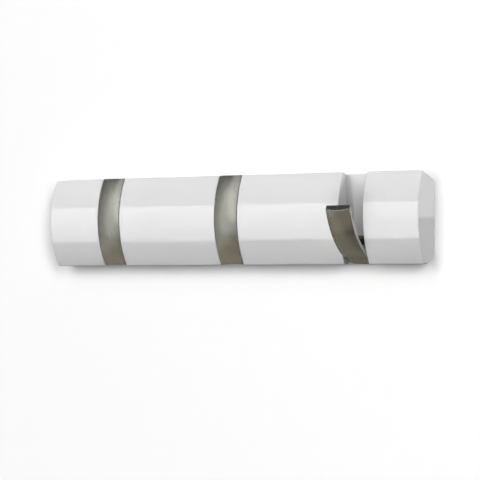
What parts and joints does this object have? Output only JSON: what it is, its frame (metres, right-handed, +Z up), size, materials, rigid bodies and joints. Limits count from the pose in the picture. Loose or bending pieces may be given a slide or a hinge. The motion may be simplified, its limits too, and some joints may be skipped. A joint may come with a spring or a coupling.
{
  "type": "wall-mounted flip-hook coat rail",
  "caption": "Wall-mounted coat rail with a bowed glossy white front and crowned brushed metal hooks that hinge down out of slots.",
  "frame": {"origin": "Centre of the rail's back, on the wall plane, at half its height and half its length.", "axes": "+X runs along the rail to the right as seen by somebody facing it, +Y points into the wall, +Z is up."},
  "size_m": [0.33, 0.0611, 0.072],
  "materials": {
    "rail_plastic": "gloss white moulding",
    "hook_nickel": "satin nickel plating, brushed along the blade",
    "plate_steel": "zinc-plated sheet",
    "pin_steel": "ground bright steel",
    "strap_steel": "zinc-plated",
    "screw_steel": "zinc-plated",
    "washer_polymer": "natural acetal",
    "bumper_rubber": "moulded elastomer"
  },
  "bodies": {
    "rail": {"rail_body": "rail_plastic", "back_plate": "plate_steel", "plate_screws": "screw_steel", "pivot_pin_left": "pin_steel", "friction_washers_left": "washer_polymer", "pin_straps_left": "strap_steel", "strap_screws_left": "screw_steel", "closed_bumper_left": "bumper_rubber", "open_bumper_left": "bumper_rubber", "pivot_pin_middle": "pin_steel", "friction_washers_middle": "washer_polymer", "pin_straps_middle": "strap_steel", "strap_screws_middle": "screw_steel", "closed_bumper_middle": "bumper_rubber", "open_bumper_middle": "bumper_rubber", "pivot_pin_right": "pin_steel", "friction_washers_right": "washer_polymer", "pin_straps_right": "strap_steel", "strap_screws_right": "screw_steel", "closed_bumper_right": "bumper_rubber", "open_bumper_right": "bumper_rubber"},
    "hook_left": {"hook_left": "hook_nickel"},
    "hook_middle": {"hook_middle": "hook_nickel"},
    "hook_right": {"hook_right": "hook_nickel"}
  },
  "joints": [
    {"name": "hinge_left", "type": "hinge", "parent": "rail", "child": "hook_left", "pos_m": [-0.1087, -0.0122, -0.0143], "axis": [1, 0, 0], "range_deg": [0, 52.6]},
    {"name": "hinge_middle", "type": "hinge", "parent": "rail", "child": "hook_middle", "pos_m": [0, -0.0122, -0.0143], "axis": [1, 0, 0], "range_deg": [0, 52.6]},
    {"name": "hinge_right", "type": "hinge", "parent": "rail", "child": "hook_right", "pos_m": [0.1087, -0.0122, -0.0143], "axis": [1, 0, 0], "range_deg": [-52.6, 0]}
  ]
}
